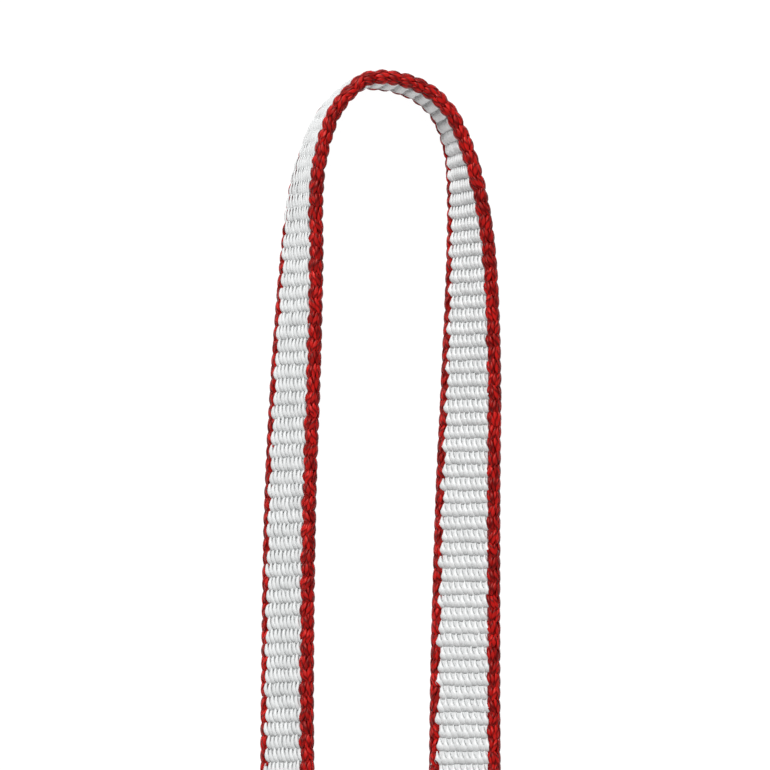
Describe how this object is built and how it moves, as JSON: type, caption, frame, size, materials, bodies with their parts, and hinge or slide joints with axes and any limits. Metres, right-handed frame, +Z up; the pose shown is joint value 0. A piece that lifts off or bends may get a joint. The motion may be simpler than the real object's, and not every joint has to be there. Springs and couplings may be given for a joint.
{
  "type": "sewn sling",
  "caption": "Narrow flat sling: one woven tape with coloured edges, overlapped and bar-tacked into a long closed loop, with a small bare label sewn into the joint.",
  "frame": {"origin": "on the surface that the sling rests on, under the middle of its loop", "axes": "+Y along the loop towards the pictured bight, +Z up from the surface, +X from the sewn leg to the plain leg"},
  "size_m": [0.0268, 0.6, 0.008],
  "materials": {
    "white_webbing": "matt woven yarn with a slight sheen",
    "red_selvedge": "woven edge yarn with a slight sheen",
    "sewing_thread": "dense satin stitching",
    "label_cloth": "bare smooth label tape"
  },
  "bodies": {
    "sling": {"white_webbing_inner_end": "white_webbing", "white_webbing_far_bight": "white_webbing", "white_webbing_plain_leg": "white_webbing", "white_webbing_near_bight": "white_webbing", "white_webbing_outer_end": "white_webbing", "upper_selvedge_inner_end": "red_selvedge", "upper_selvedge_far_bight": "red_selvedge", "upper_selvedge_plain_leg": "red_selvedge", "upper_selvedge_near_bight": "red_selvedge", "upper_selvedge_outer_end": "red_selvedge", "lower_selvedge_inner_end": "red_selvedge", "lower_selvedge_far_bight": "red_selvedge", "lower_selvedge_plain_leg": "red_selvedge", "lower_selvedge_near_bight": "red_selvedge", "lower_selvedge_outer_end": "red_selvedge", "label_tab": "label_cloth", "bar_tack_1_needle_thread": "sewing_thread", "bar_tack_1_bobbin_thread": "sewing_thread", "bar_tack_2_needle_thread": "sewing_thread", "bar_tack_2_bobbin_thread": "sewing_thread", "bar_tack_3_needle_thread": "sewing_thread", "bar_tack_3_bobbin_thread": "sewing_thread", "bar_tack_4_needle_thread": "sewing_thread", "bar_tack_4_bobbin_thread": "sewing_thread"},
    "label": {"label_flap": "label_cloth"}
  },
  "joints": [
    {"name": "label_fold", "type": "hinge", "parent": "sling", "child": "label", "pos_m": [-0.0094, 0.03075, 0.00248], "axis": [1, 0, 0], "range_deg": [0, 90]}
  ]
}
